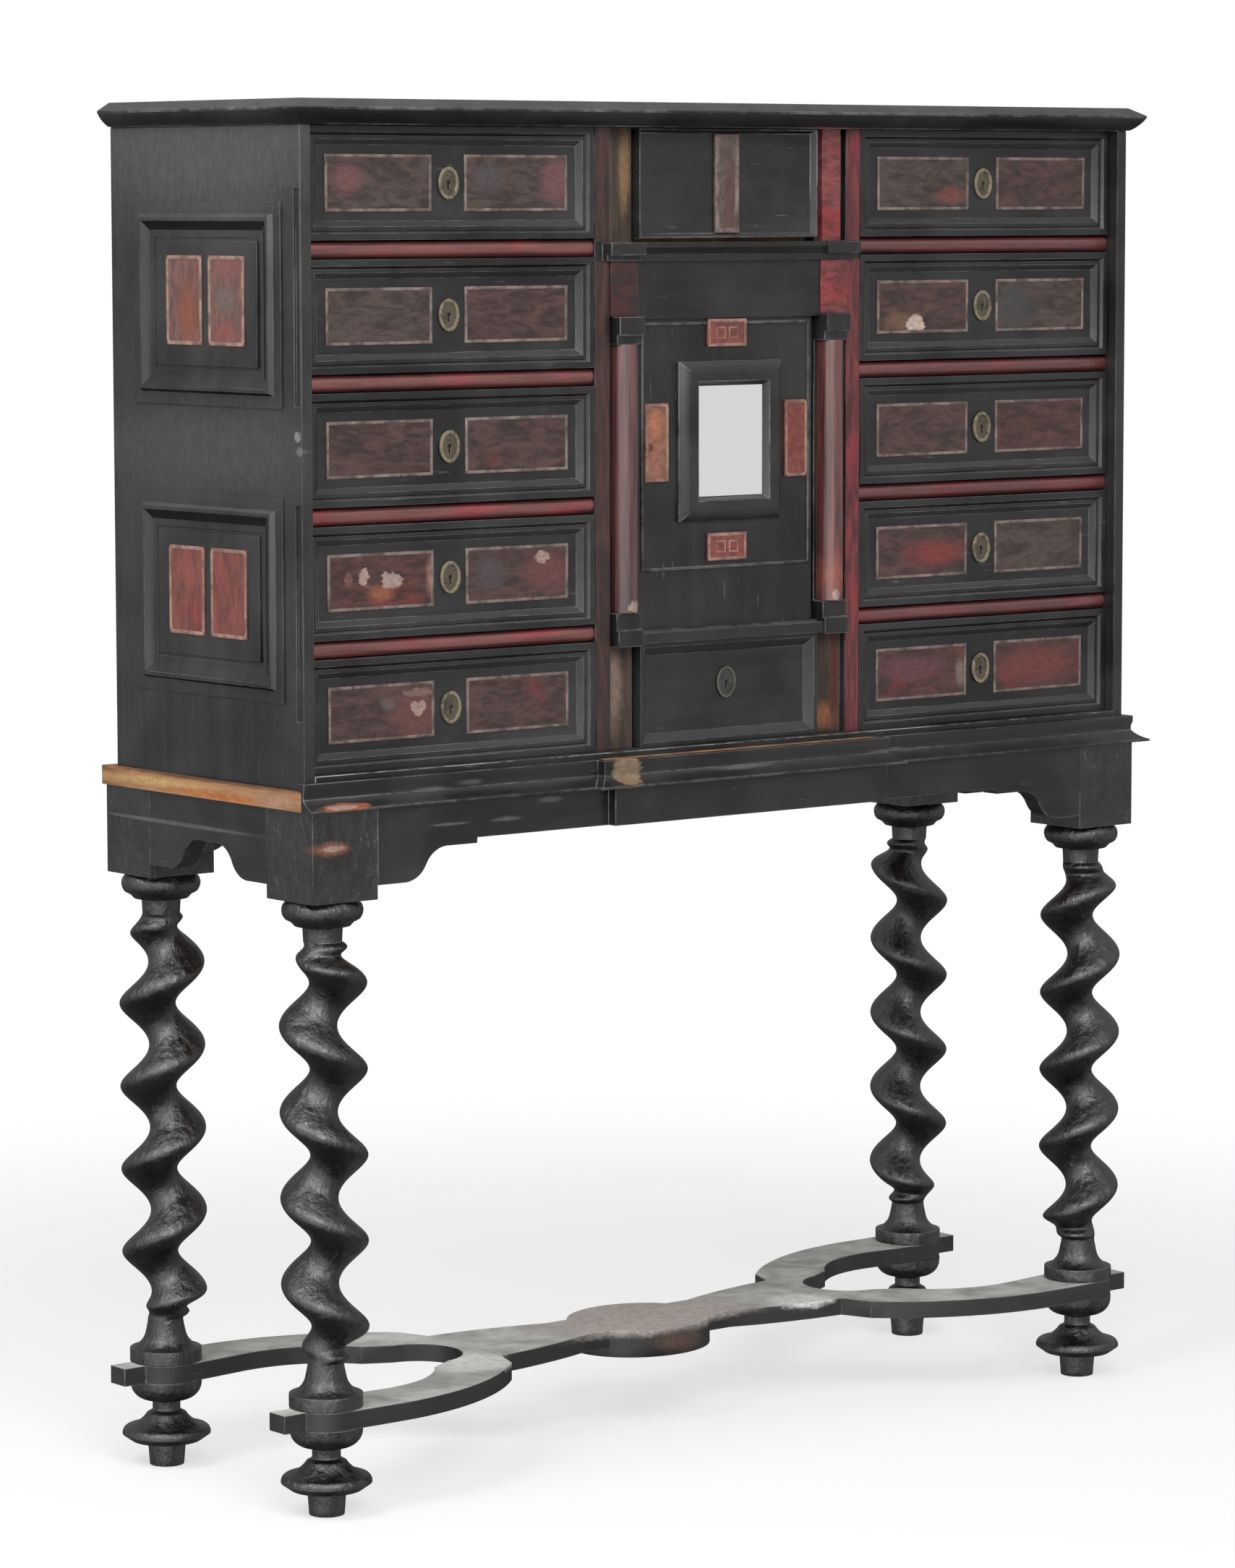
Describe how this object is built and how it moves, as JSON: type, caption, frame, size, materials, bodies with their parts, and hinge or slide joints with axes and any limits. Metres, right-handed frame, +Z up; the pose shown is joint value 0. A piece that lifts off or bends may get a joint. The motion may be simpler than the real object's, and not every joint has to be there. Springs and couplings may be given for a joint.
{
  "type": "cabinet on stand",
  "caption": "Black cabinet of small drawers round a mirrored door, on a stand with twist-turned legs, a shaped flat stretcher and turned feet.",
  "frame": {"origin": "on the floor, under the centre of the cabinet's outer box", "axes": "+X to the right seen from the front, +Y to the back, +Z up"},
  "size_m": [1.2282, 0.4124, 1.496],
  "materials": {
    "ebonised_wood": "ebonised and waxed, worn satin",
    "bare_oak": "bare, old",
    "red_shell": "polished shell veneer over red ground",
    "mirror": "silvered glass"
  },
  "bodies": {
    "carcase": {"apron_back": "ebonised_wood", "apron_front": "ebonised_wood", "apron_left": "ebonised_wood", "apron_right": "ebonised_wood", "case_back": "bare_oak", "case_bottom": "ebonised_wood", "case_side_left": "ebonised_wood", "case_side_right": "ebonised_wood", "case_top": "ebonised_wood", "centre_cornice": "ebonised_wood", "centre_shelf_lower": "ebonised_wood", "centre_shelf_upper": "bare_oak", "cornice": "ebonised_wood", "dust_boards_left": "bare_oak", "dust_boards_right": "bare_oak", "feet": "ebonised_wood", "leg_back_left": "ebonised_wood", "leg_back_right": "ebonised_wood", "leg_front_left": "ebonised_wood", "leg_front_right": "ebonised_wood", "partition_left": "bare_oak", "partition_right": "bare_oak", "pilaster_left": "ebonised_wood", "pilaster_right": "ebonised_wood", "pilaster_shells": "red_shell", "shell_rails_left": "red_shell", "shell_rails_right": "red_shell", "side_frames": "ebonised_wood", "side_shells": "red_shell", "stand_moulding": "ebonised_wood", "stand_top_board": "bare_oak", "stretcher": "ebonised_wood"},
    "drawer_left_1": {"drawer_left_1_box": "bare_oak", "drawer_left_1_front": "ebonised_wood"},
    "drawer_left_2": {"drawer_left_2_box": "bare_oak", "drawer_left_2_front": "ebonised_wood"},
    "drawer_left_3": {"drawer_left_3_box": "bare_oak", "drawer_left_3_front": "ebonised_wood"},
    "drawer_left_4": {"drawer_left_4_box": "bare_oak", "drawer_left_4_front": "ebonised_wood"},
    "drawer_left_5": {"drawer_left_5_box": "bare_oak", "drawer_left_5_front": "ebonised_wood"},
    "drawer_right_1": {"drawer_right_1_box": "bare_oak", "drawer_right_1_front": "ebonised_wood"},
    "drawer_right_2": {"drawer_right_2_box": "bare_oak", "drawer_right_2_front": "ebonised_wood"},
    "drawer_right_3": {"drawer_right_3_box": "bare_oak", "drawer_right_3_front": "ebonised_wood"},
    "drawer_right_4": {"drawer_right_4_box": "bare_oak", "drawer_right_4_front": "ebonised_wood"},
    "drawer_right_5": {"drawer_right_5_box": "bare_oak", "drawer_right_5_front": "ebonised_wood"},
    "attic_drawer": {"attic_drawer_box": "bare_oak", "attic_drawer_front": "ebonised_wood"},
    "plinth_drawer": {"plinth_drawer_box": "bare_oak", "plinth_drawer_front": "ebonised_wood"},
    "door": {"door_leaf": "ebonised_wood", "door_mirror": "mirror", "door_mouldings": "ebonised_wood", "door_plaques": "red_shell"}
  },
  "joints": [
    {"name": "drawer_left_1_slide", "type": "slide", "parent": "carcase", "child": "drawer_left_1", "axis": [0, -1, 0], "range_m": [0, 0.24]},
    {"name": "drawer_left_2_slide", "type": "slide", "parent": "carcase", "child": "drawer_left_2", "axis": [0, -1, 0], "range_m": [0, 0.24]},
    {"name": "drawer_left_3_slide", "type": "slide", "parent": "carcase", "child": "drawer_left_3", "axis": [0, -1, 0], "range_m": [0, 0.24]},
    {"name": "drawer_left_4_slide", "type": "slide", "parent": "carcase", "child": "drawer_left_4", "axis": [0, -1, 0], "range_m": [0, 0.24]},
    {"name": "drawer_left_5_slide", "type": "slide", "parent": "carcase", "child": "drawer_left_5", "axis": [0, -1, 0], "range_m": [0, 0.24]},
    {"name": "drawer_right_1_slide", "type": "slide", "parent": "carcase", "child": "drawer_right_1", "axis": [0, -1, 0], "range_m": [0, 0.24]},
    {"name": "drawer_right_2_slide", "type": "slide", "parent": "carcase", "child": "drawer_right_2", "axis": [0, -1, 0], "range_m": [0, 0.24]},
    {"name": "drawer_right_3_slide", "type": "slide", "parent": "carcase", "child": "drawer_right_3", "axis": [0, -1, 0], "range_m": [0, 0.24]},
    {"name": "drawer_right_4_slide", "type": "slide", "parent": "carcase", "child": "drawer_right_4", "axis": [0, -1, 0], "range_m": [0, 0.24]},
    {"name": "drawer_right_5_slide", "type": "slide", "parent": "carcase", "child": "drawer_right_5", "axis": [0, -1, 0], "range_m": [0, 0.24]},
    {"name": "attic_drawer_slide", "type": "slide", "parent": "carcase", "child": "attic_drawer", "axis": [0, -1, 0], "range_m": [0, 0.24]},
    {"name": "plinth_drawer_slide", "type": "slide", "parent": "carcase", "child": "plinth_drawer", "axis": [0, -1, 0], "range_m": [0, 0.24]},
    {"name": "door_swing", "type": "hinge", "parent": "carcase", "child": "door", "pos_m": [0.116, -0.1444, 0.9223], "axis": [0, 0, 1], "range_deg": [0, 95]}
  ]
}
